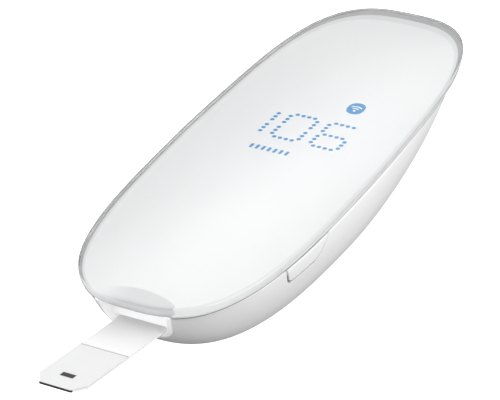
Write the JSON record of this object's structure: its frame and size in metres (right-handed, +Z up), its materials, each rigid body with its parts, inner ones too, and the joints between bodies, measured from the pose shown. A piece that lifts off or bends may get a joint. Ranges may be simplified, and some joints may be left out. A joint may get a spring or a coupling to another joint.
{
  "type": "blood glucose meter",
  "caption": "Pocket blood glucose meter: clear-topped pebble casing, dot display, side key, strip ejector slider and a test strip in its port.",
  "frame": {"origin": "middle of the flat base that the meter rests on", "axes": "+Z up through the clear cover, +Y along the body to the charging end, -Y out of the strip port, +X to the side with the power key"},
  "size_m": [0.0353, 0.1162, 0.018],
  "materials": {
    "clear_acrylic": "polished clear acrylic, softly crowned",
    "white_film": "white ink on clear film, seen through the cover",
    "white_tray": "fine moulded white ABS",
    "white_baffle": "opaque white polycarbonate",
    "led_chips": "clear resin over yellow phosphor and gold pads",
    "green_board": "green solder mask over glass epoxy",
    "black_resin": "black moulded epoxy",
    "tin_can": "tin-plated steel can",
    "white_ceramic": "unglazed white ceramic",
    "tan_ceramic": "fired tan ceramic with tinned ends",
    "screw_steel": "zinc-plated steel",
    "pouch_foil": "silver laminated pouch foil",
    "grey_foam": "closed-cell foam with adhesive faces",
    "lead_sleeve": "silicone sleeve",
    "ivory_nylon": "natural nylon",
    "white_casing": "satin moulded white ABS",
    "white_port": "polished moulded white ABS",
    "gold_plate": "gold-plated spring bronze",
    "switch_grey": "grey thermoplastic",
    "slide_resin": "natural acetal",
    "spring_steel": "drawn steel wire",
    "strip_white": "white polyester sheet",
    "carbon_ink": "printed carbon ink",
    "strip_spacer": "double-sided adhesive film",
    "strip_film": "milky hydrophilic film"
  },
  "bodies": {
    "casing": {"clear_cover": "clear_acrylic", "printed_film": "white_film", "upper_shell": "white_tray", "light_baffle": "white_baffle", "display_leds": "led_chips", "main_board": "green_board", "microcontroller": "black_resin", "measuring_chip": "black_resin", "memory_chip": "black_resin", "charger_chip": "black_resin", "radio_module": "tin_can", "chip_antenna": "white_ceramic", "crystal": "tin_can", "capacitors": "tan_ceramic", "board_screws": "screw_steel", "battery": "pouch_foil", "battery_pad": "grey_foam", "battery_leads": "lead_sleeve", "battery_socket": "ivory_nylon", "usb_port": "tin_can", "usb_tongue": "black_resin", "lower_shell": "white_casing", "port_bezel": "white_port", "strip_connector": "ivory_nylon", "connector_contacts": "gold_plate", "key_pin": "screw_steel", "key_switch": "switch_grey", "ejector_spring": "spring_steel"},
    "key": {"power_key": "white_casing", "switch_plunger": "black_resin"},
    "ejector": {"ejector_thumb": "white_casing"},
    "carriage": {"ejector_carriage": "slide_resin"},
    "strip": {"strip_base": "strip_white", "strip_tracks": "carbon_ink", "strip_mask": "strip_white", "strip_spacer": "strip_spacer", "strip_reagent": "carbon_ink", "strip_cover": "strip_film", "strip_inlet": "carbon_ink"}
  },
  "joints": [
    {"name": "key_press", "type": "hinge", "parent": "casing", "child": "key", "pos_m": [0.013, -0.017, 0.0137], "axis": [0, 0, -1], "range_deg": [0, 2.5], "stiffness_Nm_per_rad": 0.3},
    {"name": "ejector_slide", "type": "slide", "parent": "casing", "child": "ejector", "axis": [0, -1, 0], "range_m": [0, 0.004], "stiffness_N_per_m": 60, "deforming": ["ejector_spring"]},
    {"name": "carriage_climb", "type": "slide", "parent": "casing", "child": "carriage", "axis": [0, -0.9828, 0.1848], "range_m": [0, 0.0041]},
    {"name": "strip_pull", "type": "slide", "parent": "carriage", "child": "strip", "axis": [0, -0.9828, 0.1848], "range_m": [0, 0.014]}
  ],
  "couplings": [
    {"joint": "carriage_climb", "follows": "ejector_slide", "ratio": 1.0175}
  ]
}
